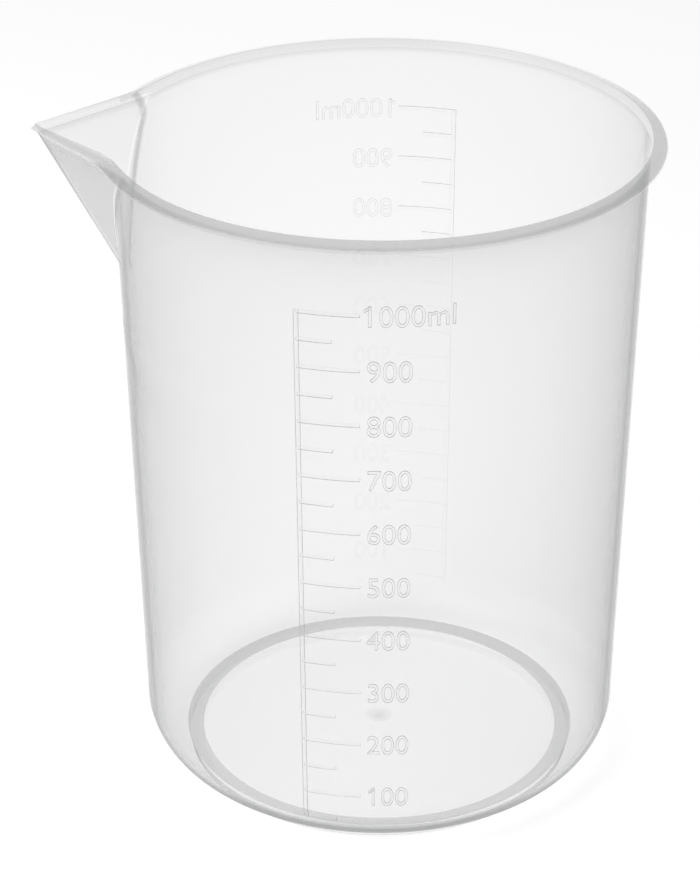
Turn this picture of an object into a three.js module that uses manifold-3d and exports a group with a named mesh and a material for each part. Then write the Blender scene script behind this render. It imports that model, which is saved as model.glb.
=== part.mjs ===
// One-litre measuring beaker of translucent plastic, in millimetres with +Z up.
// It stands on its foot ring at z = 0, its spout points along -X and its scales face -Y and +Y.

import * as THREE from 'three';
import { mergeVertices } from 'three/addons/utils/BufferGeometryUtils.js';
import Module from 'manifold-3d';

const wasm = await Module();
wasm.setup();

// Wall, floor and foot
const CUP_HEIGHT = 142.2;
const WALL_THICKNESS = 1.4;
const WALL_RADIUS_AT_TABLE = 50.65;
const WALL_RADIUS_AT_RIM = 54.2;
const HEEL_RADIUS = 12;
const FLOOR_THICKNESS = 1.2;
const BASE_RISE = 4.3;
const FOOT_HEIGHT = 1.5;
const FOOT_RADIUS = 41.8;
const FOOT_WIDTH = 3.4;
const FOOT_ROUND = 0.5;
const GATE_RADIUS = 3.2;
const GATE_HEIGHT = 0.6;

// Rim
const RIM_THICKNESS = 1.4;
const RIM_OVERHANG = 3.25;
const MOUTH_ROUND = 1.4;

// Spout
const SPOUT_REACH = 70.1;
const SPOUT_DEPTH = 30.4;
const SPOUT_SPREAD = 50;
const SPOUT_WALL = 1.4;
const SPOUT_LIP_OVERHANG = 0.9;
const SPOUT_TIP_ROUND = 1.2;
const SPOUT_RUN_IN = 7;
const SPOUT_CLEARANCE = 0.3;

// Scale
const SCALE_STEP_ML = 50;
const LABEL_STEP_ML = 100;
const FULL_MARK_ML = 1000;
const SCALE_LINE_OFFSET = -12.7;
const SCALE_LINE_WIDTH = 0.9;
const LONG_TICK = 12;
const SHORT_TICK = 7.2;
const TICK_WIDTH = 0.7;
const MARK_RELIEF = 0.4;
const FIGURE_GAP = 0.9;
const FIGURE_HEIGHT = 4.6;
const FIGURE_WIDTH = 2.7;
const FIGURE_PITCH = 3.05;
const FIGURE_STROKE = 0.55;
const PANEL_THICKNESS = 0.3;
const PANEL_MARGIN = 1.2;
const PANEL_CLEARANCE = 0.1;

// Fineness of the round surfaces
const ROUND_SEGMENTS = 72;
const GATE_SEGMENTS = 24;
const HEEL_STEPS = 5;
const EDGE_STEPS = 2;
const FIGURE_STEPS = 8;
const PANEL_COLUMNS = 6;
const TICK_COLUMNS = 3;
const VOLUME_SLICE = 0.05;
const CUBIC_MM_PER_ML = 1000;
const BEYOND = 5;

const PLASTIC = new THREE.MeshStandardMaterial({
  color: 0xe9ecec,
  roughness: 0.35,
  metalness: 0,
  transparent: true,
  opacity: 0.45,
});

// Heights and radii that follow from the sizes above
const WALL_TOP = CUP_HEIGHT - RIM_THICKNESS;
const FLOOR_TOP = FOOT_HEIGHT + FLOOR_THICKNESS;
const BASE_TOP = FLOOR_TOP + BASE_RISE;
const TAPER = (WALL_RADIUS_AT_RIM - WALL_RADIUS_AT_TABLE) / WALL_TOP;
const SLANT = Math.hypot(1, TAPER);
const RIM_RADIUS = WALL_RADIUS_AT_RIM + RIM_OVERHANG;
const SCALE_RADIUS = WALL_RADIUS_AT_TABLE + TAPER * WALL_TOP / 2;
const MARK_ROOT = PANEL_THICKNESS / 2;

// A side of the wall: a straight taper that runs into a heel arc, which ends on a flat at the lowest height.
function wallSide(radiusAtTable, heelRadius, lowest) {
  const centreHeight = lowest + heelRadius;
  const centreRadius = radiusAtTable + TAPER * centreHeight - heelRadius * SLANT;
  const tangentHeight = centreHeight - heelRadius * TAPER / SLANT;
  const radiusAt = (height) => {
    if (height >= tangentHeight) return radiusAtTable + TAPER * height;
    const drop = centreHeight - height;
    return centreRadius + Math.sqrt(Math.max(heelRadius ** 2 - drop ** 2, 0));
  };
  // Points of the arc from a radius, or from the flat's edge if that is wider, up to a height
  const arcUpTo = (top, fromRadius = 0) => {
    const arcTop = Math.min(top, tangentHeight);
    const end = Math.acos((centreHeight - arcTop) / heelRadius);
    const share = THREE.MathUtils.clamp((fromRadius - centreRadius) / heelRadius, 0, 1);
    const start = Math.min(Math.asin(share), end);
    const points = [];
    for (let step = 0; step <= HEEL_STEPS; step++) {
      const turn = start + (end - start) * step / HEEL_STEPS;
      const radius = centreRadius + heelRadius * Math.sin(turn);
      points.push(new THREE.Vector2(radius, centreHeight - heelRadius * Math.cos(turn)));
    }
    return points;
  };
  return { tangentHeight, radiusAt, arcUpTo };
}

const outside = wallSide(WALL_RADIUS_AT_TABLE, HEEL_RADIUS, FOOT_HEIGHT);
const inside = wallSide(
  WALL_RADIUS_AT_TABLE - WALL_THICKNESS * SLANT,
  Math.max(HEEL_RADIUS - WALL_THICKNESS, WALL_THICKNESS),
  FLOOR_TOP,
);

// Solids

// A closed geometry as a solid that can be joined and cut
function solid(geometry) {
  geometry.deleteAttribute('normal');
  geometry.deleteAttribute('uv');
  const merged = mergeVertices(geometry);
  const corners = merged.index.array;
  const triangles = [];
  for (let i = 0; i < corners.length; i += 3) {
    const [a, b, c] = corners.subarray(i, i + 3);
    if (a !== b && b !== c && c !== a) triangles.push(a, b, c);
  }
  return new wasm.Manifold(new wasm.Mesh({
    numProp: 3,
    vertProperties: new Float32Array(merged.attributes.position.array),
    triVerts: new Uint32Array(triangles),
  }));
}

function geometryOf(body) {
  const { vertProperties, triVerts } = body.getMesh();
  const geometry = new THREE.BufferGeometry();
  geometry.setAttribute('position', new THREE.BufferAttribute(vertProperties, 3));
  geometry.setIndex(new THREE.BufferAttribute(triVerts, 1));
  return geometry;
}

// A named sub-part from a solid
function part(name, body) {
  const geometry = geometryOf(body);
  geometry.computeVertexNormals();
  const mesh = new THREE.Mesh(geometry, PLASTIC.clone());
  mesh.name = name;
  return mesh;
}

// A profile of radius and height turned round the cup's axis
function turned(points, segments = ROUND_SEGMENTS) {
  return solid(new THREE.LatheGeometry(points, segments).rotateX(Math.PI / 2));
}

function ring(points) {
  return turned([...points, points[0].clone()]);
}

function corner(radius, height) {
  return new THREE.Vector2(radius, height);
}

// A plan outline raised between two heights, moved along X by its lean at each height
function raised(outline, low, high, lean = 0) {
  const geometry = new THREE.ExtrudeGeometry(outline, {
    depth: high - low,
    bevelEnabled: false,
    curveSegments: 2 * EDGE_STEPS,
  });
  geometry.translate(0, 0, low);
  const position = geometry.attributes.position;
  for (let i = 0; i < position.count; i++) {
    position.setX(i, position.getX(i) + lean * (WALL_TOP - position.getZ(i)));
  }
  return solid(geometry);
}

// Body

// The base has a flat seat as wide as the foot ring, and the heel rises from the ring's outer edge.
function cupBase() {
  const under = outside.arcUpTo(BASE_TOP, FOOT_RADIUS);
  const over = inside.arcUpTo(BASE_TOP).reverse();
  if (BASE_TOP > outside.tangentHeight) under.push(corner(outside.radiusAt(BASE_TOP), BASE_TOP));
  if (BASE_TOP > inside.tangentHeight) over.unshift(corner(inside.radiusAt(BASE_TOP), BASE_TOP));
  return turned([
    corner(0, FOOT_HEIGHT),
    corner(FOOT_RADIUS, FOOT_HEIGHT),
    ...under,
    ...over,
    corner(0, FLOOR_TOP),
  ]);
}

// Heights at which a side's section has a corner between two heights: close on the heel, none on the taper
function heightsBetween(side, low, high) {
  const heelTop = THREE.MathUtils.clamp(side.tangentHeight, low, high);
  const heights = [];
  for (let step = 0; step < HEEL_STEPS && heelTop > low; step++) {
    heights.push(low + (heelTop - low) * step / HEEL_STEPS);
  }
  if (heelTop < high) heights.push(heelTop);
  return [...heights, high];
}

function plainWall() {
  const upTo = (side) => heightsBetween(side, BASE_TOP, WALL_TOP);
  const up = upTo(outside).map((height) => corner(outside.radiusAt(height), height));
  const down = upTo(inside).map((height) => corner(inside.radiusAt(height), height)).reverse();
  return ring([...up, ...down]);
}

function footRing() {
  const profile = new THREE.Path();
  const inner = FOOT_RADIUS - FOOT_WIDTH;
  const round = Math.min(FOOT_ROUND, FOOT_WIDTH / 2, FOOT_HEIGHT);
  profile.moveTo(inner, FOOT_HEIGHT);
  profile.lineTo(inner, round);
  profile.absarc(inner + round, round, round, Math.PI, 1.5 * Math.PI, false);
  profile.lineTo(FOOT_RADIUS - round, 0);
  profile.absarc(FOOT_RADIUS - round, round, round, 1.5 * Math.PI, 2 * Math.PI, false);
  profile.lineTo(FOOT_RADIUS, FOOT_HEIGHT);
  return ring(profile.getPoints(EDGE_STEPS / 2));
}

function gateMark() {
  const profile = new THREE.Path();
  const low = FOOT_HEIGHT - GATE_HEIGHT;
  profile.moveTo(0, low);
  profile.lineTo(GATE_RADIUS - GATE_HEIGHT, low);
  profile.absarc(GATE_RADIUS - GATE_HEIGHT, FOOT_HEIGHT, GATE_HEIGHT, 1.5 * Math.PI, 2 * Math.PI, false);
  profile.lineTo(0, FOOT_HEIGHT);
  return turned(profile.getPoints(EDGE_STEPS / 2), GATE_SEGMENTS);
}

// Rim: flat on top, with a round edge all the way out and an eased inner edge
function plainRim() {
  const profile = new THREE.Path();
  const inner = inside.radiusAt(WALL_TOP);
  const edge = RIM_THICKNESS / 2;
  profile.moveTo(inner, WALL_TOP);
  profile.lineTo(RIM_RADIUS - edge, WALL_TOP);
  profile.absarc(RIM_RADIUS - edge, WALL_TOP + edge, edge, -Math.PI / 2, Math.PI / 2, false);
  profile.lineTo(inner + MOUTH_ROUND, CUP_HEIGHT);
  profile.absellipse(
    inner + MOUTH_ROUND, WALL_TOP, MOUTH_ROUND, RIM_THICKNESS, Math.PI / 2, Math.PI, false,
  );
  const points = profile.getPoints(EDGE_STEPS);
  points.pop();
  return ring(points);
}

// Spout

// In plan the spout is a V: its ridge stands at the reach, and its sides meet the wall at half the spread.
const halfSpread = THREE.MathUtils.degToRad(SPOUT_SPREAD / 2);
const jointX = -WALL_RADIUS_AT_RIM * Math.cos(halfSpread);
const jointY = WALL_RADIUS_AT_RIM * Math.sin(halfSpread);
const sideSlope = jointY / (SPOUT_REACH + jointX);
const sideSine = sideSlope / Math.hypot(1, sideSlope);
const ridgeFoot = WALL_TOP - SPOUT_DEPTH;
const ridgeLean = (SPOUT_REACH - outside.radiusAt(ridgeFoot)) / SPOUT_DEPTH;

// The spout's lip ends where its sides reach the rim's edge
const lipTip = SPOUT_REACH + SPOUT_LIP_OVERHANG / sideSine;
const lipTurn = Math.asin(Math.min(lipTip * sideSine / RIM_RADIUS, 1)) - Math.asin(sideSine);
const lipBack = -RIM_RADIUS * Math.cos(lipTurn);

// Plan of the V from its back to its tip, moved outward by an offset square to its sides
function spoutPlan(offset, back, tipRound = 0) {
  const tip = -SPOUT_REACH - offset / sideSine;
  const halfWidth = sideSlope * (back - tip);
  const plan = new THREE.Shape();
  plan.moveTo(back, -halfWidth);
  plan.lineTo(back, halfWidth);
  plan.lineTo(tip + tipRound, sideSlope * tipRound);
  if (tipRound > 0) plan.quadraticCurveTo(tip, 0, tip + tipRound, -sideSlope * tipRound);
  return plan;
}

const troughBack = jointX + SPOUT_RUN_IN;
const trough = raised(
  spoutPlan(-SPOUT_WALL, troughBack), ridgeFoot - BEYOND, CUP_HEIGHT + BEYOND, ridgeLean,
);

// The cup's outside, taken off the trough with a clearance
function cupEnvelope() {
  const low = ridgeFoot - 2 * BEYOND;
  const high = WALL_TOP + BEYOND;
  return turned([
    corner(0, low),
    corner(outside.radiusAt(low) + SPOUT_CLEARANCE, low),
    corner(outside.radiusAt(high) + SPOUT_CLEARANCE, high),
    corner(0, high),
  ]);
}

function pouringSpout() {
  const block = raised(spoutPlan(0, troughBack), ridgeFoot - BEYOND, WALL_TOP, ridgeLean);
  return block.subtract(trough).subtract(cupEnvelope());
}

function spoutLip() {
  const plan = spoutPlan(SPOUT_LIP_OVERHANG, lipBack, SPOUT_TIP_ROUND);
  return raised(plan, WALL_TOP, CUP_HEIGHT).subtract(trough);
}

// The rim is open at the spout, where the lip takes over from it
function rimLip() {
  const opening = new THREE.BoxGeometry(lipTip, 2 * RIM_RADIUS, RIM_THICKNESS + 2 * BEYOND);
  opening.translate(lipBack - lipTip / 2, 0, WALL_TOP + RIM_THICKNESS / 2);
  return plainRim().subtract(trough).subtract(solid(opening));
}

// Scale

// Height to which a volume fills the cup
function levelOf(millilitres) {
  let level = FLOOR_TOP;
  let volume = 0;
  while (volume < millilitres * CUBIC_MM_PER_ML) {
    volume += Math.PI * inside.radiusAt(level + VOLUME_SLICE / 2) ** 2 * VOLUME_SLICE;
    level += VOLUME_SLICE;
  }
  return level;
}

// Marks that find room on the wall between the base and the rim
const marks = [];
for (let millilitres = SCALE_STEP_ML; millilitres <= FULL_MARK_ML; millilitres += SCALE_STEP_ML) {
  const level = levelOf(millilitres);
  const room = FIGURE_HEIGHT / 2 + PANEL_MARGIN + PANEL_CLEARANCE;
  const labelled = millilitres % LABEL_STEP_ML === 0;
  const below = labelled ? room : TICK_WIDTH / 2 + PANEL_MARGIN + PANEL_CLEARANCE;
  if (level - below > BASE_TOP && level + room < WALL_TOP) marks.push({ millilitres, level, labelled });
}

// A flat geometry, with X along the wall, Y up and Z outward, wrapped on the outside of the cup
function wrapped(geometry) {
  const position = geometry.attributes.position;
  for (let i = 0; i < position.count; i++) {
    const angle = position.getX(i) / SCALE_RADIUS;
    const height = position.getY(i);
    const radius = outside.radiusAt(height) + position.getZ(i);
    position.setXYZ(i, radius * Math.sin(angle), -radius * Math.cos(angle), height);
  }
  return solid(geometry);
}

// A bar between two corners, laid on the wall
function bar(left, right, low, high, inner, outer, columns) {
  const heights = heightsBetween(outside, low, high);
  const rows = heights.length - 1;
  const geometry = new THREE.BoxGeometry(1, 1, 1, columns, rows, 1);
  const position = geometry.attributes.position;
  for (let i = 0; i < position.count; i++) {
    const across = position.getX(i) + 0.5;
    const row = Math.round((position.getY(i) + 0.5) * rows);
    const out = position.getZ(i) + 0.5;
    position.setX(i, left + (right - left) * across);
    position.setY(i, heights[row]);
    position.setZ(i, inner + (outer - inner) * out);
  }
  return wrapped(geometry);
}

// Strokes of the figures, drawn on their centre lines in a box one unit wide and one unit high

function line(...points) {
  return points.map(([x, y]) => new THREE.Vector2(x, y));
}

function arc(x, y, radiusX, radiusY, from, to) {
  const start = THREE.MathUtils.degToRad(from);
  const end = THREE.MathUtils.degToRad(to);
  const steps = Math.ceil(FIGURE_STEPS * Math.abs(to - from) / 360);
  return new THREE.EllipseCurve(x, y, radiusX, radiusY, start, end, from > to).getPoints(steps);
}

function loop(x, y, radiusX, radiusY) {
  const points = arc(x, y, radiusX, radiusY, 0, 360);
  points.pop();
  points.closed = true;
  return points;
}

function upsideDown(strokes) {
  return strokes.map((points) => {
    const turnedPoints = points.map(({ x, y }) => new THREE.Vector2(1 - x, 1 - y));
    turnedPoints.closed = points.closed;
    return turnedPoints;
  });
}

const SIX = [loop(0.5, 0.3, 0.5, 0.3), arc(0.56, 0.5, 0.56, 0.5, 50, 200)];
const FIGURES = {
  0: { strokes: [loop(0.5, 0.5, 0.5, 0.5)] },
  1: { strokes: [line([0.68, 0], [0.68, 1]), line([0.68, 1], [0.36, 0.74])] },
  2: { strokes: [[...arc(0.5, 0.7, 0.48, 0.3, 165, -35), ...line([0.04, 0.04])], line([0, 0], [1, 0])] },
  3: { strokes: [arc(0.48, 0.76, 0.42, 0.24, 160, -90), arc(0.48, 0.26, 0.5, 0.26, 90, -160)] },
  4: { strokes: [line([0.74, 0], [0.74, 1]), line([0.74, 1], [0, 0.3]), line([0, 0.3], [1, 0.3])] },
  5: {
    strokes: [
      line([0.9, 1], [0.2, 1]),
      line([0.2, 1], [0.08, 0.5]),
      arc(0.47, 0.32, 0.5, 0.32, 140, -155),
    ],
  },
  6: { strokes: SIX },
  7: { strokes: [line([0, 1], [1, 1]), line([1, 1], [0.32, 0])] },
  8: { strokes: [loop(0.5, 0.76, 0.42, 0.24), loop(0.5, 0.26, 0.5, 0.26)] },
  9: { strokes: upsideDown(SIX) },
  m: {
    advance: 1.3,
    strokes: [
      line([0, 0], [0, 0.7]),
      [...arc(0.32, 0.42, 0.32, 0.28, 180, 0), ...line([0.64, 0])],
      [...arc(0.96, 0.42, 0.32, 0.28, 180, 0), ...line([1.28, 0])],
    ],
  },
  l: { advance: 0.5, strokes: [line([0.3, 0], [0.3, 1])] },
};

// Points at half a stroke's width to one side of its centre line
function besideStroke(points, side) {
  const last = points.length - 1;
  return points.map((point, i) => {
    const before = points[i > 0 ? i - 1 : points.closed ? last : 0];
    const after = points[i < last ? i + 1 : points.closed ? 0 : last];
    const along = after.clone().sub(before).normalize();
    return new THREE.Vector2(-along.y, along.x).multiplyScalar(side * FIGURE_STROKE / 2).add(point);
  });
}

// Outline of a stroke, with square ends where it is open
function strokeOutline(points) {
  if (points.closed) {
    const outline = new THREE.Shape(besideStroke(points, -1));
    outline.holes.push(new THREE.Path(besideStroke(points, 1)));
    return outline;
  }
  const lengthen = (end, next) => end.clone().sub(next).setLength(FIGURE_STROKE / 2).add(end);
  const longer = [
    lengthen(points[0], points[1]),
    ...points.slice(1, -1),
    lengthen(points.at(-1), points.at(-2)),
  ];
  return new THREE.Shape([...besideStroke(longer, -1), ...besideStroke(longer, 1).reverse()]);
}

// A figure raised on the wall with its lower left corner at a place
function figure(character, left, low) {
  const width = FIGURE_WIDTH - FIGURE_STROKE;
  const height = FIGURE_HEIGHT - FIGURE_STROKE;
  const strokes = FIGURES[character].strokes.map((points) => {
    const placed = points.map(({ x, y }) => new THREE.Vector2(x * width, y * height));
    placed.closed = points.closed;
    const geometry = new THREE.ExtrudeGeometry(strokeOutline(placed), {
      depth: MARK_ROOT + MARK_RELIEF,
      bevelEnabled: false,
    });
    geometry.translate(left + FIGURE_STROKE / 2, low + FIGURE_STROKE / 2, -MARK_ROOT);
    return solid(geometry);
  });
  return wrapped(geometryOf(strokes.reduce((joined, stroke) => joined.add(stroke))));
}

function labelOf(millilitres) {
  return millilitres === FULL_MARK_ML ? `${millilitres}ml` : `${millilitres}`;
}

const lineLeft = SCALE_LINE_OFFSET - SCALE_LINE_WIDTH / 2;
const lineRight = SCALE_LINE_OFFSET + SCALE_LINE_WIDTH / 2;
const figuresLeft = lineLeft + LONG_TICK + FIGURE_GAP;

function stepAfter(character) {
  return FIGURE_PITCH * (FIGURES[character].advance ?? 1);
}

function labelWidth(label) {
  return [...label].reduce((width, character) => width + stepAfter(character), 0);
}

const lowestMark = marks[0];
const highestMark = marks.at(-1);
const labels = marks.filter(({ labelled }) => labelled).map(({ millilitres }) => labelOf(millilitres));
const panel = {
  left: lineLeft - PANEL_MARGIN,
  right: figuresLeft + Math.max(0, ...labels.map(labelWidth)) + PANEL_MARGIN,
  low: lowestMark.level - (lowestMark.labelled ? FIGURE_HEIGHT : TICK_WIDTH) / 2 - PANEL_MARGIN,
  high: highestMark.level + FIGURE_HEIGHT / 2 + PANEL_MARGIN,
};

// The marks stand on a thin skin that is flush with the wall, so that each scale is one piece.
function scale() {
  let body = bar(panel.left, panel.right, panel.low, panel.high, -PANEL_THICKNESS, 0, PANEL_COLUMNS);
  const markBar = (left, right, low, high, columns) =>
    bar(left, right, low, high, -MARK_ROOT, MARK_RELIEF, columns);
  const half = TICK_WIDTH / 2;
  body = body.add(markBar(lineLeft, lineRight, lowestMark.level - half, highestMark.level + half, 1));
  for (const { millilitres, level, labelled } of marks) {
    const length = labelled ? LONG_TICK : SHORT_TICK;
    body = body.add(markBar(lineLeft, lineLeft + length, level - half, level + half, TICK_COLUMNS));
    if (!labelled) continue;
    let left = figuresLeft;
    for (const character of labelOf(millilitres)) {
      body = body.add(figure(character, left, level - FIGURE_HEIGHT / 2));
      left += stepAfter(character);
    }
  }
  return body;
}

// The recess in the wall that a scale's skin lies in
function scaleRecess() {
  return bar(
    panel.left - PANEL_CLEARANCE,
    panel.right + PANEL_CLEARANCE,
    panel.low - PANEL_CLEARANCE,
    panel.high + PANEL_CLEARANCE,
    -PANEL_THICKNESS - PANEL_CLEARANCE,
    BEYOND,
    PANEL_COLUMNS,
  );
}

// Assembly

const cup = new THREE.Group();
const recess = scaleRecess();
const wall = plainWall().subtract(trough).subtract(recess).subtract(recess.rotate([0, 0, 180]));
cup.add(part('cup_wall', wall));
cup.add(part('cup_base', cupBase()));
cup.add(part('foot_ring', footRing()));
cup.add(part('gate_mark', gateMark()));
cup.add(part('rim_lip', rimLip()));
cup.add(part('pouring_spout', pouringSpout()));
cup.add(part('spout_lip', spoutLip()));

const frontScale = part('front_scale', scale());
const backScale = frontScale.clone();
backScale.name = 'back_scale';
backScale.rotation.z = Math.PI;
cup.add(frontScale, backScale);

// The origin lies on the table under the middle of the cup's box.
const box = new THREE.Box3().setFromObject(cup);
cup.position.x = -(box.min.x + box.max.x) / 2;

const measuringCup = new THREE.Group();
measuringCup.add(cup);

export default measuringCup;
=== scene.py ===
"""A one-litre measuring beaker of milky plastic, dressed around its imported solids, in metres."""

import math

import bpy
from mathutils import Euler, Matrix, Vector
from mathutils.kdtree import KDTree


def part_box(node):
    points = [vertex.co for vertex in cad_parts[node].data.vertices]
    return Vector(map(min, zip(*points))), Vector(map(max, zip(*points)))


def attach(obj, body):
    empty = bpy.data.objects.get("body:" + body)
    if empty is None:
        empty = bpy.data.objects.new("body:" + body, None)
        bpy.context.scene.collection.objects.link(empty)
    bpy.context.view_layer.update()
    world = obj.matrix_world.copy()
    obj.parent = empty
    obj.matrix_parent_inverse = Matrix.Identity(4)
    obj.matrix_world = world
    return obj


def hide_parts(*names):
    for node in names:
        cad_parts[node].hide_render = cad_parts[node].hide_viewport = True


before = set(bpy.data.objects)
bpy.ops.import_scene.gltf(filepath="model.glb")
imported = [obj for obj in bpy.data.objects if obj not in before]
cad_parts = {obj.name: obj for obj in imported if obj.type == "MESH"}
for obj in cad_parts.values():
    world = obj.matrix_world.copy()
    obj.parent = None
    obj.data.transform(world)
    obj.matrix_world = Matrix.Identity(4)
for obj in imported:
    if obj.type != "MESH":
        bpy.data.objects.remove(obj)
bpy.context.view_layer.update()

MM = 0.001

# Places taken from the frame
foot_low, foot_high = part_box("foot_ring")
rim_low, rim_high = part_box("rim_lip")
wall_low, wall_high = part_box("cup_wall")
gate_low, gate_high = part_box("gate_mark")
AXIS = Vector(((foot_low.x + foot_high.x) / 2, 0, 0))
FOOT_RADIUS = (foot_high.x - foot_low.x) / 2
FOOT_HEIGHT = foot_high.z
CUP_HEIGHT = rim_high.z
WALL_TOP = rim_low.z
RIM_RADIUS = (rim_high.y - rim_low.y) / 2
WALL_RADIUS_AT_RIM = (wall_high.y - wall_low.y) / 2
GATE_RADIUS = (gate_high.x - gate_low.x) / 2
GATE_DEPTH = FOOT_HEIGHT - gate_low.z

# Wall, floor and foot
WALL_THICKNESS = 1.4 * MM
WALL_RADIUS_AT_TABLE = 50.65 * MM
HEEL_RADIUS = 12 * MM
FLOOR_THICKNESS = 1.2 * MM
FLOOR_DOME = 2.2 * MM
FOOT_WIDTH = 3.4 * MM
FOOT_ROUND = 0.5 * MM
GATE_ROOT = 0.1 * MM

# Rim and mouth
RIM_ROOT_ROUND = 0.5 * MM
RIM_SLOPE = math.radians(16)
RIM_ROUND = 0.7 * MM
RIM_LOWEST = 140.4 * MM
MOUTH_DEPTH = 5.0 * MM
MOUTH_FLARE = 1.7 * MM

# Spout
SPOUT_REACH = 70.1 * MM
SPOUT_DEPTH = 30.4 * MM
SPOUT_SPREAD = math.radians(50)
SPOUT_LIP_OVERHANG = 0.9 * MM
SPOUT_LIP_FLARE = 0.35 * MM
SPOUT_RIDGE_ROUND = 0.004
SPOUT_WIDEST = math.radians(40)
TROUGH_REACH = 69.2 * MM
TROUGH_SLOPE = 0.93
SEAM_FILLET = 0.5 * MM
NOTCH_FILLET = 0.8 * MM
LIP_FILLET = 2.5 * MM
MOUTH_FILLET = 3.0 * MM

# Scale
SCALE_STEP_ML = 50
LABEL_STEP_ML = 100
FULL_MARK_ML = 1000
CUBIC_M_PER_ML = 1e-6
VOLUME_SLICE = 0.05 * MM
SCALE_LINE_OFFSET = -13.0 * MM
SCALE_LINE_WIDTH = 0.9 * MM
LONG_TICK = 12.4 * MM
SHORT_TICK = 7.2 * MM
TICK_WIDTH = 0.7 * MM
MARK_RELIEF = 0.4 * MM
MARK_ROOT = 0.15 * MM
MARK_BEVEL = 0.15 * MM
FIGURE_GAP = 1.15 * MM
FULL_LABEL_GAP = 0.4 * MM
FIGURE_HEIGHT = 4.6 * MM
FIGURE_NARROW = 0.94
TYPE_SIZE = FIGURE_HEIGHT * 1.37
FLAG_REACH = 0.75 * MM
FLAG_WIDTH = 0.55 * MM
FLAG_SLOPE = 0.7

# Fineness of the round surfaces
ROUND_STEPS = 360
SPOUT_STEPS = 20
GATE_STEPS = 48
GATE_ARC_STEPS = 6
LEAST_SEAM = math.radians(1.5)
SEAM_RELEASE = 15 * MM
ARC_STEPS = 30
EDGE_STEPS = 5
MOUTH_STEPS = 14
SPOUT_ROW = 1.0 * MM
WALL_ROW = 8 * MM
FLOOR_ROW = 4 * MM
LEAST_ROW = 0.05 * MM
ROWS_UNDER_SPOUT_OUTSIDE = 6
ROWS_UNDER_SPOUT_INSIDE = 10
SEAM_SEARCHES = 40
BAR_CUTS = 12
UPRIGHT_BAR_CROWDING = 3
BAR_BEVEL_STEPS = 3
FIGURE_CURVE_STEPS = 6
FIGURE_BEVEL_STEPS = 2
SMOOTH_ANGLE = math.radians(40)
FIGURE_SMOOTH_ANGLE = math.radians(30)

# Cloudiness of the plastic where a view enters it, as loss of the light behind; the heel, foot-contact,
# under-rim, notch, ridge and seam values are painted shade
RIM_CLOUD = 0.74
RIM_EDGE_CLOUD = 0.08
CREST_CLOUD = 0.2
MOUTH_CLOUD = 0.16
# painted shade: the wall darkens just under the rim, fading downward
UNDER_RIM_PAINTED_SHADE = 0.2
UNDER_RIM_REACH = 4 * MM
UNDER_RIM_CLEAR = 1.8 * MM
# painted shade: a dark band round the heel where it turns under toward the foot
HEEL_PAINTED_SHADE = 1.7
HEEL_TURN = math.radians(52)
HEEL_TURN_WIDTH = math.radians(10)
FLOOR_CLOUD = 0.12
FLOOR_CLEAR_EDGE = 1 * MM
FOOT_CLOUD = 0.58
# painted shade: a grey line low on the foot's outer edge, where it meets the table
FOOT_CONTACT_PAINTED_SHADE = 0.5
FOOT_EDGE_SHARE = 0.8
FOOT_BAND_OUTWARD = 0.5 * MM
FOOT_BAND_INWARD = 0.4 * MM
FOOT_BAND_EDGE = 0.2 * MM
# painted shade: a dark line along the crease where the spout's trough meets the inner wall
NOTCH_PAINTED_SHADE = 0.8
NOTCH_STEP = SPOUT_STEPS + 0.5
NOTCH_REACH = 1.6
TROUGH_CLOUD = 0.1
# painted shade: a dark line along the spout's ridge
RIDGE_PAINTED_SHADE = 2.0
RIDGE_REACH = 1.2
LIP_SHARE = 0.8
# painted shade: a dark line along the seam where the spout's side meets the wall
SEAM_PAINTED_SHADE = 0.9
SEAM_STEP = SPOUT_STEPS + 1
SEAM_REACH = 1.5

# Cloudiness where a view leaves the plastic: painted shade under the rim, and the gate's cloud
RIM_UNDER_PAINTED_SHADE = 0.21
GATE_CLOUD = 0.3

# Milky plastic
SEEN_THICKNESS = 1.1 * MM
MILK_DARK = (0.36, 0.365, 0.365, 1)
MILK_PALE = (0.43, 0.435, 0.435, 1)
PLASTIC_IOR = 1.49
WHITE = (1, 1, 1, 1)
CLEAR_LAYERS = 32

# Studio
TABLE_SIZE = 6
TABLE_COLOUR = (0.92, 0.92, 0.92, 1)
TABLE_LIFT = 0.41
BACKDROP_START = 0.6
BACKDROP_END = 1.5
FILL_LIGHT = 0.4
LAMP_TARGET = Vector((0, 0, 0.07))
CAMERA_PLACE = AXIS + Vector((28.79, -549.44, 359.88)) * MM
CAMERA_YAW = math.radians(-3.66)
CAMERA_PITCH = math.radians(27.57)
CAMERA_ROLL = math.radians(-0.11)
CAMERA_LENS = 120.39
CAMERA_SENSOR = 36
CAMERA_NEAREST = 0.01

# Worked out from the values above
TAPER = (WALL_RADIUS_AT_RIM - WALL_RADIUS_AT_TABLE) / WALL_TOP
SLANT = math.hypot(1, TAPER)
LIP_ROOT = SPOUT_LIP_OVERHANG - RIM_ROUND
FLOOR_TOP = FOOT_HEIGHT + FLOOR_THICKNESS
FOOT_INNER = FOOT_RADIUS - FOOT_WIDTH
SCALE_RADIUS = WALL_RADIUS_AT_TABLE + TAPER * WALL_TOP / 2
SHELL = 1 - (1 - SEEN_THICKNESS / SCALE_RADIUS) ** 2
LINE_LEFT = SCALE_LINE_OFFSET - SCALE_LINE_WIDTH / 2
TICKS_RIGHT = LINE_LEFT + LONG_TICK
MARK_MIDDLE = (MARK_ROOT - MARK_RELIEF) / 2
MARK_DEPTH = MARK_RELIEF + MARK_ROOT


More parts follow.
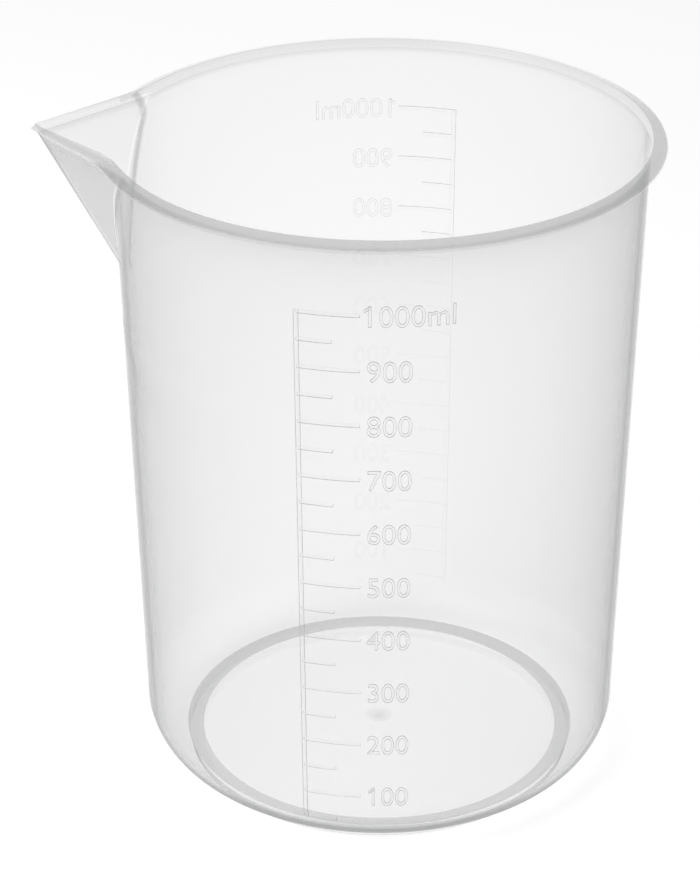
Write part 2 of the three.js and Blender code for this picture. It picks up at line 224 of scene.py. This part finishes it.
class WallSide:
    """One side of the wall: a straight taper that runs into a heel arc, which ends on a flat."""

    def __init__(self, radius_at_table, heel_radius, lowest):
        self.radius_at_table = radius_at_table
        self.heel = heel_radius
        self.centre_height = lowest + heel_radius
        self.centre_radius = radius_at_table + TAPER * self.centre_height - heel_radius * SLANT
        self.tangent_height = self.centre_height - heel_radius * TAPER / SLANT

    def radius_at(self, height):
        if height >= self.tangent_height:
            return self.radius_at_table + TAPER * height
        drop = self.centre_height - height
        return self.centre_radius + math.sqrt(max(self.heel ** 2 - drop ** 2, 0))

    def height_at(self, radius):
        """Height of the heel arc, or of the flat inside it, at a radius."""
        reach = max(radius - self.centre_radius, 0)
        return self.centre_height - math.sqrt(self.heel ** 2 - reach ** 2)

    def arc(self, from_radius):
        """Points of the heel from a radius, or from the flat's edge if that is wider, up to the taper."""
        start = math.asin(max((from_radius - self.centre_radius) / self.heel, 0))
        end = math.acos((self.centre_height - self.tangent_height) / self.heel)
        turns = [start + (end - start) * i / ARC_STEPS for i in range(ARC_STEPS + 1)]
        return [
            (self.centre_radius + self.heel * math.sin(t), self.centre_height - self.heel * math.cos(t))
            for t in turns
        ]


outside = WallSide(WALL_RADIUS_AT_TABLE, HEEL_RADIUS, FOOT_HEIGHT)
inside = WallSide(WALL_RADIUS_AT_TABLE - WALL_THICKNESS * SLANT, HEEL_RADIUS - WALL_THICKNESS, FLOOR_TOP)


# Modelling helpers


def deselect_all():
    bpy.ops.object.select_all(action="DESELECT")


def make_active(piece):
    deselect_all()
    piece.select_set(True)
    bpy.context.view_layer.objects.active = piece


def named(name):
    piece = bpy.context.active_object
    piece.name = name
    piece.data.name = name
    return piece


def apply_place():
    bpy.ops.object.transform_apply(location=True, rotation=True, scale=True)


def smooth(piece, angle=SMOOTH_ANGLE):
    make_active(piece)
    bpy.ops.object.shade_smooth_by_angle(angle=angle)


def joined(pieces, name):
    deselect_all()
    for piece in pieces:
        piece.select_set(True)
    bpy.context.view_layer.objects.active = pieces[0]
    bpy.ops.object.join()
    return named(name)


def paint(piece, name, values):
    """Keeps a value of each point on the mesh, for its material."""
    layer = piece.data.attributes.new(name, "FLOAT", "POINT")
    layer.data.foreach_set("value", values)


def spread(low, high, step):
    """Even places from one value to another, about a step apart."""
    count = max(round(abs(high - low) / step), 1)
    return [low + (high - low) * i / count for i in range(count + 1)]


def fade(place, middle, reach):
    """One at the middle, falling to zero within a reach of it."""
    return max(1 - abs(place - middle) / reach, 0)


def smooth_max(a, b, fillet):
    """The larger of two radii, with a fillet where they cross."""
    near = max(fillet - abs(a - b), 0) / fillet
    return max(a, b) + near * near * fillet / 4


def round_corner(centre, radius, start, end):
    """Points of an arc in a profile, by angles in degrees."""
    turns = [math.radians(start + (end - start) * i / EDGE_STEPS) for i in range(EDGE_STEPS + 1)]
    return [(centre[0] + radius * math.cos(t), centre[1] + radius * math.sin(t)) for t in turns]


def trace_and_spin(name, profile, steps):
    """Traces a profile of (radius, height) by extruding a point, and spins it round the cup's axis."""
    deselect_all()
    bpy.ops.mesh.primitive_plane_add(size=MM, location=(0, 0, 0))
    piece = named(name)
    bpy.ops.object.mode_set(mode="EDIT")
    bpy.ops.mesh.select_all(action="SELECT")
    bpy.ops.mesh.merge(type="CENTER")
    points = [AXIS + Vector((-radius, 0, height)) for radius, height in profile]
    bpy.ops.transform.translate(value=points[0])
    for last, point in zip(points, points[1:]):
        bpy.ops.mesh.extrude_region_move(TRANSFORM_OT_translate={"value": point - last})
    bpy.ops.mesh.select_all(action="SELECT")
    bpy.ops.mesh.spin(steps=steps, angle=math.tau, center=AXIS, axis=(0, 0, 1))
    bpy.ops.mesh.select_all(action="SELECT")
    bpy.ops.mesh.remove_doubles(threshold=0.01 * MM)
    bpy.ops.mesh.normals_make_consistent(inside=False)
    bpy.ops.object.mode_set(mode="OBJECT")
    return piece


# Cup body

half_spread = SPOUT_SPREAD / 2
joint_x = WALL_RADIUS_AT_RIM * math.cos(half_spread)
joint_y = WALL_RADIUS_AT_RIM * math.sin(half_spread)
side_slope = joint_y / (SPOUT_REACH - joint_x)
ridge_foot = WALL_TOP - SPOUT_DEPTH
ridge_lean = (SPOUT_REACH - outside.radius_at(ridge_foot)) / SPOUT_DEPTH

OUTSIDE, INSIDE, EDGE = range(3)


class Row:
    """One point of the body's profile, which the spin makes into a row of points round the cup."""

    def __init__(self, radius, height, skin, cloud_and_shade=0, within=0, offset=0, inner=False, fillet=None):
        self.radius = radius
        self.height = height
        self.skin = skin
        self.cloud_and_shade = cloud_and_shade
        self.within = within
        self.offset = offset
        self.inner = inner
        self.fillet = fillet or (NOTCH_FILLET if inner else SEAM_FILLET)
        self.seam = self.find_seam()

    def spout_radius(self, turn):
        """Distance from the cup's axis to the spout's V at a turn from its ridge."""
        slope = TROUGH_SLOPE if self.inner else side_slope
        drop = WALL_TOP - self.height if self.inner else max(WALL_TOP - self.height, 0)
        tip = (TROUGH_REACH if self.inner else SPOUT_REACH) - ridge_lean * drop
        across = math.hypot(math.sin(turn), SPOUT_RIDGE_ROUND)
        return (slope * tip + self.offset * math.hypot(1, slope)) / (across + slope * math.cos(turn))

    def has_spout(self):
        return self.spout_radius(0) > self.radius

    def find_seam(self):
        """Turn at which the spout's side leaves the round of this row."""
        if self.spout_radius(0) < self.radius:
            below = (ridge_foot - self.height) / SEAM_RELEASE
            return LEAST_SEAM + math.radians(SPOUT_STEPS) * min(max(below, 0), 1)
        low, high = 0, SPOUT_WIDEST
        for _ in range(SEAM_SEARCHES):
            middle = (low + high) / 2
            if self.spout_radius(middle) > self.radius:
                low = middle
            else:
                high = middle
        return max(low, LEAST_SEAM)

    def moved_turn(self, step):
        """Turn of a point, with the spout's seam at the same step in every row."""
        if step <= SPOUT_STEPS:
            return self.seam * step / SPOUT_STEPS
        rest = (step - SPOUT_STEPS) / (ROUND_STEPS / 2 - SPOUT_STEPS)
        return self.seam + (math.pi - self.seam) * rest

    def cloud_at(self, step):
        """Cloudiness of a point where a view enters the plastic, and where it leaves it, with painted shade
        along the notch's crease, the spout's ridge and its seam with the wall.
        """
        cloud_and_shade, within = self.cloud_and_shade, self.within
        if not self.has_spout():
            return cloud_and_shade, within
        if self.inner:
            # painted shade along the notch's crease
            cloud_and_shade += NOTCH_PAINTED_SHADE * fade(step, NOTCH_STEP, NOTCH_REACH)
            cloud_and_shade += TROUGH_CLOUD if step < SPOUT_STEPS else 0
        elif self.skin == OUTSIDE:
            # painted shade along the spout's ridge and along its seam with the wall
            cloud_and_shade += RIDGE_PAINTED_SHADE * fade(step, 0, RIDGE_REACH)
            cloud_and_shade += SEAM_PAINTED_SHADE * fade(step, SEAM_STEP, SEAM_REACH)
        elif step < SPOUT_STEPS:
            cloud_and_shade *= LIP_SHARE
            within = 0
        return cloud_and_shade, within

    def place(self, turn):
        """Moves a point of the row to the spout's seam and side, and gives its place and its cloudiness."""
        step = abs(turn) / math.tau * ROUND_STEPS
        moved = self.moved_turn(step)
        radius = self.radius
        if moved < SPOUT_WIDEST:
            radius = smooth_max(self.radius, self.spout_radius(moved), self.fillet)
        turn = math.copysign(moved, turn)
        place = AXIS + Vector((-radius * math.cos(turn), radius * math.sin(turn), self.height))
        return (place, *self.cloud_at(step))


def dome(radius):
    """Rise of the floor inside the foot ring."""
    return FLOOR_DOME * max(1 - (radius / FOOT_INNER) ** 2, 0)


def lip_reach(radius):
    """How far the spout's lip stands out where the rim has this radius."""
    return SPOUT_LIP_OVERHANG - (RIM_RADIUS - radius)


def foot_rows():
    """Rows from under the floor's middle to the outside of the foot ring."""
    rows = []
    for r in spread(0, FOOT_INNER - LEAST_ROW, FLOOR_ROW):
        cloud_and_shade = FLOOR_CLOUD if r < FOOT_INNER - FLOOR_CLEAR_EDGE else 0
        rows.append(Row(r, FOOT_HEIGHT + dome(r), INSIDE, cloud_and_shade))
    for r, h in round_corner((FOOT_INNER + FOOT_ROUND, FOOT_ROUND), FOOT_ROUND, 180, 270):
        rows.append(Row(r, h, EDGE))
    # the lower part of the foot's outer edge carries painted contact shade
    for r, h in round_corner((FOOT_RADIUS - FOOT_ROUND, FOOT_ROUND), FOOT_ROUND, 270, 360):
        rows.append(Row(r, h, EDGE, FOOT_CONTACT_PAINTED_SHADE if h < FOOT_ROUND * FOOT_EDGE_SHARE else 0))
    return rows


def outside_rows():
    """Rows of the outside from the foot ring, up the heel and the wall, to the root of the rim."""
    rows = []
    for r, h in outside.arc(FOOT_RADIUS):
        # painted shade: a dark band round the heel, centred at one turn of its arc
        turn = math.atan2(r - outside.centre_radius, outside.centre_height - h)
        cloud_and_shade = HEEL_PAINTED_SHADE * math.exp(-((turn - HEEL_TURN) / HEEL_TURN_WIDTH) ** 2)
        rows.append(Row(r, h, OUTSIDE, cloud_and_shade))
    start = ridge_foot - ROWS_UNDER_SPOUT_OUTSIDE * SPOUT_ROW
    clear = WALL_TOP - UNDER_RIM_CLEAR
    plain = spread(outside.tangent_height, start, WALL_ROW)[1:]
    for h in plain + spread(start, clear, SPOUT_ROW)[1:]:
        # painted shade under the rim, strongest just below the clear strip and fading downward
        cloud_and_shade = UNDER_RIM_PAINTED_SHADE * math.exp((h - clear) / UNDER_RIM_REACH)
        rows.append(Row(outside.radius_at(h), h, OUTSIDE, cloud_and_shade))
    # the clear strip under the rim carries painted shade where a view leaves the plastic
    for h in spread(clear, WALL_TOP - RIM_ROOT_ROUND, SPOUT_ROW)[1:]:
        rows.append(Row(outside.radius_at(h), h, OUTSIDE, 0, RIM_UNDER_PAINTED_SHADE))
    return rows


def rim_rows():
    """Rows of the rim from its root under the lip, round its edge, up its sloping top to the crest."""
    root = WALL_TOP - RIM_ROOT_ROUND
    wall_edge = outside.radius_at(root)
    shoulder = RIM_RADIUS - RIM_ROUND
    crest = inside.radius_at(CUP_HEIGHT) + MOUTH_FLARE
    bend = CUP_HEIGHT - (shoulder - crest) * math.tan(RIM_SLOPE) - RIM_ROUND
    rows = []
    # the rim's root and lower edge carry painted shade under the rim where a view leaves the plastic
    for r, h in round_corner((wall_edge + RIM_ROOT_ROUND, root), RIM_ROOT_ROUND, 180, 90)[1:]:
        share = (r - wall_edge) / RIM_ROOT_ROUND
        rows.append(Row(r, h, EDGE, 0, RIM_UNDER_PAINTED_SHADE, LIP_ROOT * share))
    for r, h in round_corner((shoulder, RIM_LOWEST + RIM_ROUND), RIM_ROUND, -90, 0):
        rows.append(Row(r, h, EDGE, RIM_EDGE_CLOUD, RIM_UNDER_PAINTED_SHADE, lip_reach(r), fillet=LIP_FILLET))
    for r, h in round_corner((shoulder, bend), RIM_ROUND, 0, 90 - math.degrees(RIM_SLOPE)):
        if h > rows[-1].height + LEAST_ROW:
            cloud_and_shade = RIM_EDGE_CLOUD + (RIM_CLOUD - RIM_EDGE_CLOUD) * (h - bend) / RIM_ROUND
            rows.append(Row(r, h, EDGE, cloud_and_shade, 0, lip_reach(r), fillet=LIP_FILLET))
    last = rows[-1]
    for i in range(1, EDGE_STEPS + 1):
        share = i / EDGE_STEPS
        r = last.radius + (crest - last.radius) * share
        h = last.height + (CUP_HEIGHT - last.height) * share
        rows.append(Row(r, h, EDGE, RIM_CLOUD, 0, last.offset * (1 - share), fillet=LIP_FILLET))
    return rows


def mouth_rows():
    """Rows of the inside from the crest of the rim down its flare."""
    rows = []
    for i in range(MOUTH_STEPS + 1):
        share = (1 - i / MOUTH_STEPS) ** 2
        h = CUP_HEIGHT - MOUTH_DEPTH * i / MOUTH_STEPS
        r = inside.radius_at(h) + MOUTH_FLARE * share
        flare = SPOUT_LIP_FLARE * share
        fillet = NOTCH_FILLET + (MOUTH_FILLET - NOTCH_FILLET) * share
        if i == 0:
            rows.append(Row(r - LEAST_ROW, h, EDGE, CREST_CLOUD, 0, flare, True, fillet))
        else:
            rows.append(Row(r, h, INSIDE, MOUTH_CLOUD * share, 0, flare, True, fillet))
    return rows


def inside_rows():
    """Rows of the inside from the mouth's flare, down the wall and the heel, to the floor's middle."""
    rows = []
    start = ridge_foot - ROWS_UNDER_SPOUT_INSIDE * SPOUT_ROW
    wall = spread(CUP_HEIGHT - MOUTH_DEPTH, start, SPOUT_ROW)[1:]
    for h in wall + spread(start, inside.tangent_height, WALL_ROW)[1:-1]:
        rows.append(Row(inside.radius_at(h), h, INSIDE, inner=True))
    band_out = FOOT_RADIUS + FOOT_BAND_OUTWARD
    band_in = FOOT_INNER + FOOT_BAND_INWARD
    arc = inside.arc(0)
    for r in (band_out + FOOT_BAND_EDGE, band_out, band_in + FOOT_BAND_EDGE, band_in):
        arc.append((r, inside.height_at(r)))
    for r, h in sorted(arc, reverse=True):
        over_foot = band_in < r - FOOT_BAND_EDGE / 2 < band_out
        rows.append(Row(r, h, INSIDE, FOOT_CLOUD if over_foot else 0, inner=True))
    for r in spread(band_in - LEAST_ROW, 0, FLOOR_ROW):
        rows.append(Row(r, FLOOR_TOP + dome(r), INSIDE, FLOOR_CLOUD, inner=True))
    return rows


def cup_body():
    """The whole moulding but its marks: a spun profile, whose points are then drawn out into the spout."""
    rows = foot_rows() + outside_rows() + rim_rows() + mouth_rows() + inside_rows()
    piece = trace_and_spin("cup_body", [(row.radius, row.height) for row in rows], ROUND_STEPS)
    places = KDTree(len(rows))
    for i, row in enumerate(rows):
        places.insert((row.radius, 0, row.height), i)
    places.balance()
    row_of = []
    clouds = []
    withins = []
    beside_seam = []
    for vertex in piece.data.vertices:
        arm = vertex.co - AXIS
        index = places.find((math.hypot(arm.x, arm.y), 0, arm.z))[1]
        turn = math.atan2(arm.y, -arm.x)
        step = abs(turn) / math.tau * ROUND_STEPS
        vertex.co, cloud_and_shade, within = rows[index].place(turn)
        row_of.append(index)
        clouds.append(cloud_and_shade)
        withins.append(within)
        beside_seam.append(rows[index].has_spout() and SPOUT_STEPS - 1.5 < step < SPOUT_STEPS + 0.5)
    paint(piece, "cloud_and_shade", clouds)
    paint(piece, "within", withins)
    for face in piece.data.polygons:
        skin = rows[max(row_of[i] for i in face.vertices)].skin
        if skin == OUTSIDE and all(beside_seam[i] for i in face.vertices):
            skin = EDGE
        face.material_index = skin
    smooth(piece)
    return piece


def gate_mark():
    """The soft nub that the mould's gate leaves under the middle of the floor."""
    base = FOOT_HEIGHT + FLOOR_DOME
    profile = []
    for i in range(GATE_ARC_STEPS + 1):
        turn = math.radians(90) * i / GATE_ARC_STEPS
        profile.append((GATE_RADIUS * math.sin(turn), base - GATE_DEPTH * math.cos(turn)))
    profile += [(GATE_RADIUS, base + GATE_ROOT), (0, base + GATE_ROOT)]
    piece = trace_and_spin("gate_nub", profile, GATE_STEPS)
    clouds = []
    for vertex in piece.data.vertices:
        near = fade(math.hypot(vertex.co.x - AXIS.x, vertex.co.y), 0, GATE_RADIUS)
        clouds.append(GATE_CLOUD * near if vertex.co.z < base else 0)
    paint(piece, "within", clouds)
    smooth(piece)
    return piece


# Scales


def level_of(millilitres):
    """Height to which a volume fills the cup."""
    level = FLOOR_TOP
    volume = 0
    while volume < millilitres * CUBIC_M_PER_ML:
        volume += math.pi * inside.radius_at(level + VOLUME_SLICE / 2) ** 2 * VOLUME_SLICE
        level += VOLUME_SLICE
    return level


MARKS = [
    (millilitres, level_of(millilitres))
    for millilitres in range(SCALE_STEP_ML, FULL_MARK_ML + 1, SCALE_STEP_ML)
]


def lay_on_wall(piece, facing):
    """Lays a flat piece, drawn with X along the wall, Z up and -Y outward, on the outside of the cup."""
    for vertex in piece.data.vertices:
        turn = vertex.co.x / SCALE_RADIUS
        radius = outside.radius_at(vertex.co.z) - vertex.co.y
        vertex.co.x = AXIS.x + facing * radius * math.sin(turn)
        vertex.co.y = -facing * radius * math.cos(turn)


def flat_bar(left, right, low, high):
    """A bar with eased outer edges, cut across so that it can follow the wall."""
    deselect_all()
    centre = ((left + right) / 2, MARK_MIDDLE, (low + high) / 2)
    bpy.ops.mesh.primitive_cube_add(size=1, location=centre)
    piece = bpy.context.active_object
    piece.scale = (right - left, MARK_DEPTH, high - low)
    apply_place()
    bpy.ops.object.mode_set(mode="EDIT")
    bpy.ops.mesh.select_mode(type="EDGE")
    bpy.ops.mesh.select_all(action="DESELECT")
    bpy.ops.object.mode_set(mode="OBJECT")
    for edge in piece.data.edges:
        ends = [piece.data.vertices[i].co for i in edge.vertices]
        edge.select = all(end.y < MARK_MIDDLE for end in ends)
    bpy.ops.object.mode_set(mode="EDIT")
    bpy.ops.mesh.bevel(offset=MARK_BEVEL, segments=BAR_BEVEL_STEPS, profile=0.5)
    level = right - left > high - low
    long_way = Vector((1, 0, 0)) if level else Vector((0, 0, 1))
    start, end = (left, right) if level else (low, high)
    for i in range(1, BAR_CUTS):
        cut = start + (end - start) * (i / BAR_CUTS) ** (1 if level else UPRIGHT_BAR_CROWDING)
        bpy.ops.mesh.select_all(action="SELECT")
        bpy.ops.mesh.bisect(plane_co=long_way * cut, plane_no=long_way)
    bpy.ops.object.mode_set(mode="OBJECT")
    return piece


def scale_lines(side, facing):
    """The upright line of a scale with its long and short ticks."""
    half = TICK_WIDTH / 2
    foot, head = MARKS[0][1] - half, MARKS[-1][1] + half
    bars = [flat_bar(LINE_LEFT, LINE_LEFT + SCALE_LINE_WIDTH, foot, head)]
    for millilitres, level in MARKS:
        length = SHORT_TICK if millilitres % LABEL_STEP_ML else LONG_TICK
        start = LINE_LEFT + SCALE_LINE_WIDTH / 2
        bars.append(flat_bar(start, LINE_LEFT + length, level - half, level + half))
    piece = joined(bars, side + "_scale_lines")
    lay_on_wall(piece, facing)
    smooth(piece)
    return piece


def figure(words, level, left):
    """A label with eased edges, raised off the wall beside its tick."""
    deselect_all()
    bpy.ops.object.text_add(location=(0, 0, 0))
    text = bpy.context.active_object
    text.data.body = words
    text.data.size = TYPE_SIZE
    text.data.resolution_u = FIGURE_CURVE_STEPS
    text.data.extrude = MARK_DEPTH / 2 - MARK_BEVEL
    text.data.bevel_depth = MARK_BEVEL
    text.data.bevel_resolution = FIGURE_BEVEL_STEPS
    text.data.offset = -MARK_BEVEL
    bpy.ops.object.convert(target="MESH")
    piece = bpy.context.active_object
    piece.rotation_euler = Euler((math.radians(90), 0, 0))
    piece.scale = (FIGURE_NARROW, 1, 1)
    piece.location = (left, MARK_MIDDLE, level - FIGURE_HEIGHT / 2)
    apply_place()
    return piece


def flag_of_one(label):
    """The short slanting flag at the top of a label's first figure, a one."""
    left = min(vertex.co.x for vertex in label.data.vertices)
    top = max(vertex.co.z for vertex in label.data.vertices if vertex.co.x < left + FLAG_WIDTH)
    right = left + FLAG_REACH / 2
    flag = flat_bar(left - FLAG_REACH, right, top - FLAG_WIDTH, top)
    for vertex in flag.data.vertices:
        vertex.co.z -= FLAG_SLOPE * (right - vertex.co.x)
    return flag


def scale_figures(side, facing):
    """The labels of a scale, one beside each long tick."""
    labels = []
    for millilitres, level in MARKS:
        if millilitres == FULL_MARK_ML:
            labels.append(figure(f"{millilitres}ml", level, TICKS_RIGHT + FULL_LABEL_GAP))
        elif millilitres % LABEL_STEP_ML == 0:
            labels.append(figure(f"{millilitres}", level, TICKS_RIGHT + FIGURE_GAP))
    labels += [flag_of_one(label) for label in (labels[0], labels[-1])]
    piece = joined(labels, side + "_scale_figures")
    lay_on_wall(piece, facing)
    bpy.ops.object.mode_set(mode="EDIT")
    bpy.ops.mesh.select_all(action="SELECT")
    bpy.ops.mesh.remove_doubles(threshold=0.001 * MM)
    bpy.ops.mesh.normals_make_consistent(inside=False)
    bpy.ops.object.mode_set(mode="OBJECT")
    smooth(piece, FIGURE_SMOOTH_ANGLE)
    return piece


# Materials


class Shade:
    """A socket in a material, with sums written as Python expressions."""

    def __init__(self, tree, socket):
        self.tree = tree
        self.socket = socket

    def math(self, operation, *values):
        return node(self.tree, "ShaderNodeMath", {"operation": operation}, dict(enumerate(values)))

    def ramp(self, low, high):
        limits = {"Value": self, "From Min": low, "From Max": high}
        return node(self.tree, "ShaderNodeMapRange", {"interpolation_type": "SMOOTHSTEP"}, limits)

    def __add__(self, other):
        return self.math("ADD", self, other)

    def __radd__(self, other):
        return self.math("ADD", other, self)

    def __sub__(self, other):
        return self.math("SUBTRACT", self, other)

    def __rsub__(self, other):
        return self.math("SUBTRACT", other, self)

    def __mul__(self, other):
        return self.math("MULTIPLY", self, other)

    def __rmul__(self, other):
        return self.math("MULTIPLY", other, self)

    def __truediv__(self, other):
        return self.math("DIVIDE", self, other)

    def __rtruediv__(self, other):
        return self.math("DIVIDE", other, self)

    def __pow__(self, other):
        return self.math("POWER", self, other)

    def __rpow__(self, other):
        return self.math("POWER", other, self)


def node(tree, kind, settings=None, inputs=None, output=0):
    """Adds a node with its settings and the values or links of its sockets, and wraps an output."""
    made = tree.nodes.new(kind)
    for name, value in (settings or {}).items():
        setattr(made, name, value)
    for name, value in (inputs or {}).items():
        if isinstance(value, Shade):
            tree.links.new(value.socket, made.inputs[name])
        else:
            made.inputs[name].default_value = value
    return Shade(tree, made.outputs[output]) if made.outputs else None


def mixed_shader(tree, share, first, second):
    return node(tree, "ShaderNodeMixShader", inputs={0: share, 1: first, 2: second})


def light_path(tree, output):
    return node(tree, "ShaderNodeLightPath", output=output)


def shown_to_view(tree):
    """One for a view, straight, mirrored or through the plastic, and zero for the light on things."""
    straight = light_path(tree, "Is Camera Ray")
    mirrored = light_path(tree, "Is Glossy Ray")
    through = light_path(tree, "Is Transmission Ray")
    return straight.math("MAXIMUM", straight.math("MAXIMUM", straight, mirrored), through)


def from_within(tree):
    return node(tree, "ShaderNodeNewGeometry", output="Backfacing")


def painted(tree, name):
    return node(tree, "ShaderNodeAttribute", {"attribute_name": name}, output="Fac")


def painted_loss(tree):
    """Loss painted on the points: one where a view enters the plastic, another where it leaves it; part
    cloudiness, part painted shade.
    """
    within = from_within(tree)
    return painted(tree, "cloud_and_shade") * (1 - within) + painted(tree, "within") * within


def wall_loss(depth):
    """Loss in a thin round wall by the way through it, longest where the view grazes its inside."""
    def loss(tree, facing):
        upright = 1 - facing
        beyond = upright * upright - SHELL
        way = upright - beyond.math("MAXIMUM", beyond, 0) ** 0.5
        leaving = 1 - from_within(tree) * (0.15 + 0.35 * facing.ramp(0.5, 0.85))
        return way ** 1.2 * upright.ramp(0, 0.1) * depth * leaving + painted_loss(tree)
    return loss


def edge_loss(tree, facing):
    """Loss in the solid edges, which fades where the view only grazes them."""
    return painted_loss(tree) * (0.1 + 0.9 * (1 - facing).ramp(0.15, 0.3))


def mark_loss(clear_until, strength):
    """Loss in the raised marks: clear on flats, cloudy on edges, and faint through other plastic."""
    def loss(tree, facing):
        layers = light_path(tree, "Transparent Depth")
        return (0.03 + strength * facing.ramp(clear_until, 0.85)) / (1 + 0.6 * layers ** 3)
    return loss


def new_material(name):
    material = bpy.data.materials.new(name)
    material.use_nodes = True
    material.node_tree.nodes.clear()
    return material, material.node_tree


def milky_plastic(name, loss_of, gloss, shine_roughness):
    """Milky plastic: clear where its loss is small, with a cloudy body elsewhere and a soft gloss."""
    material, tree = new_material(name)
    place = node(tree, "ShaderNodeTexCoord", output="Object")
    facing = node(tree, "ShaderNodeLayerWeight", inputs={"Blend": 0.5}, output="Facing")
    streaks = node(tree, "ShaderNodeTexNoise", inputs={"Vector": place, "Scale": 45, "Detail": 3})
    grain = node(tree, "ShaderNodeTexNoise", inputs={"Vector": place, "Scale": 1800, "Detail": 1})
    relief = {"Strength": 0.1, "Distance": 0.02 * MM, "Height": grain}
    texture = node(tree, "ShaderNodeBump", inputs=relief, output="Normal")
    milk = node(tree, "ShaderNodeMix", {"data_type": "RGBA"}, {0: streaks, 6: MILK_DARK, 7: MILK_PALE}, 2)
    loss = loss_of(tree, facing) * -1
    opacity = (1 - loss.math("EXPONENT", loss)) * (1 - 0.6 * light_path(tree, "Is Shadow Ray"))
    sheen = (0.02 + 0.98 * facing ** 5) * gloss
    body = node(tree, "ShaderNodeBsdfPrincipled", inputs={
        "Base Color": milk,
        "Roughness": 0.34 + 0.12 * streaks,
        "IOR": PLASTIC_IOR,
        "Normal": texture,
    })
    shine = node(tree, "ShaderNodeBsdfGlossy", inputs={
        "Color": WHITE,
        "Roughness": shine_roughness,
        "Normal": texture,
    })
    clear = node(tree, "ShaderNodeBsdfTransparent")
    glow = node(tree, "ShaderNodeBsdfTranslucent", inputs={"Color": milk})
    cloudy = mixed_shader(tree, 0.5, body, glow)
    filled = mixed_shader(tree, opacity, clear, cloudy)
    surface = mixed_shader(tree, sheen, filled, shine)
    node(tree, "ShaderNodeOutputMaterial", inputs={"Surface": surface})
    return material


# Stage


def set_world():
    """White to the view, with a softer light on the cup."""
    world = bpy.data.worlds.new("studio")
    bpy.context.scene.world = world
    world.use_nodes = True
    tree = world.node_tree
    tree.nodes.clear()
    white = node(tree, "ShaderNodeBackground", inputs={"Color": WHITE, "Strength": 1.0})
    fill = node(tree, "ShaderNodeBackground", inputs={"Color": WHITE, "Strength": FILL_LIGHT})
    sky = mixed_shader(tree, shown_to_view(tree), fill, white)
    node(tree, "ShaderNodeOutputWorld", inputs={"Surface": sky})


def table_top():
    """A matt white table that keeps the cup's shadow, lifted for the view and plain white far away."""
    deselect_all()
    bpy.ops.mesh.primitive_plane_add(size=TABLE_SIZE, location=(0, 0, 0))
    floor = named("table_top")
    material, tree = new_material("white_table")
    matt = node(tree, "ShaderNodeBsdfDiffuse", inputs={"Color": TABLE_COLOUR})
    lift = node(tree, "ShaderNodeEmission", inputs={"Strength": TABLE_LIFT})
    lifted = node(tree, "ShaderNodeAddShader", inputs={0: matt, 1: lift})
    backdrop = node(tree, "ShaderNodeEmission", inputs={"Strength": 1.0})
    place = node(tree, "ShaderNodeTexCoord", output="Object")
    away = node(tree, "ShaderNodeVectorMath", {"operation": "LENGTH"}, {0: place}, "Value")
    shown = mixed_shader(tree, away.ramp(BACKDROP_START, BACKDROP_END), lifted, backdrop)
    surface = mixed_shader(tree, shown_to_view(tree), matt, shown)
    node(tree, "ShaderNodeOutputMaterial", inputs={"Surface": surface})
    floor.data.materials.append(material)


def soft_lamp(name, place, size, power):
    data = bpy.data.lights.new(name, "AREA")
    data.shape = "RECTANGLE"
    data.size, data.size_y = size
    data.energy = power
    lamp = bpy.data.objects.new(name, data)
    bpy.context.scene.collection.objects.link(lamp)
    lamp.location = place
    lamp.rotation_euler = (LAMP_TARGET - Vector(place)).to_track_quat("-Z", "Y").to_euler()


def set_camera():
    data = bpy.data.cameras.new("camera")
    data.lens = CAMERA_LENS
    data.sensor_width = CAMERA_SENSOR
    data.clip_start = CAMERA_NEAREST
    camera = bpy.data.objects.new("camera", data)
    bpy.context.scene.collection.objects.link(camera)
    forward = Vector((
        math.sin(CAMERA_YAW) * math.cos(CAMERA_PITCH),
        math.cos(CAMERA_YAW) * math.cos(CAMERA_PITCH),
        -math.sin(CAMERA_PITCH),
    ))
    turn = forward.to_track_quat("-Z", "Y").to_matrix() @ Matrix.Rotation(CAMERA_ROLL, 3, "Z")
    camera.matrix_world = Matrix.Translation(CAMERA_PLACE) @ turn.to_4x4()
    bpy.context.scene.camera = camera


# Assembly

outside_skin = milky_plastic("milky_outside", wall_loss(depth=10.5), gloss=0.2, shine_roughness=0.12)
inside_skin = milky_plastic("milky_inside", wall_loss(depth=0.33), gloss=0.3, shine_roughness=0.3)
edge_skin = milky_plastic("milky_edges", edge_loss, gloss=0.5, shine_roughness=0.15)
line_skin = milky_plastic("milky_lines", mark_loss(0.48, 4), gloss=0.6, shine_roughness=0.12)
figure_skin = milky_plastic("milky_figures", mark_loss(0.35, 5), gloss=0.6, shine_roughness=0.12)

body = cup_body()
for skin in (outside_skin, inside_skin, edge_skin):
    body.data.materials.append(skin)
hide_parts("cup_wall", "cup_base", "foot_ring", "rim_lip", "pouring_spout", "spout_lip")
gate = gate_mark()
gate.data.materials.append(edge_skin)
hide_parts("gate_mark")
pieces = [body, gate]
for side, facing in (("front", 1), ("back", -1)):
    for make, skin in ((scale_lines, line_skin), (scale_figures, figure_skin)):
        piece = make(side, facing)
        piece.data.materials.clear()
        piece.data.materials.append(skin)
        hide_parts(side + "_scale")
        pieces.append(piece)
for piece in pieces:
    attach(piece, "root")

set_world()
table_top()
soft_lamp("key_lamp", place=(-0.7, -0.5, 0.9), size=(0.8, 0.8), power=7)
soft_lamp("fill_lamp", place=(0.8, -0.4, 0.6), size=(0.6, 0.6), power=1)
set_camera()
bpy.context.scene.view_settings.view_transform = "Standard"
bpy.context.scene.cycles.transparent_max_bounces = CLEAR_LAYERS
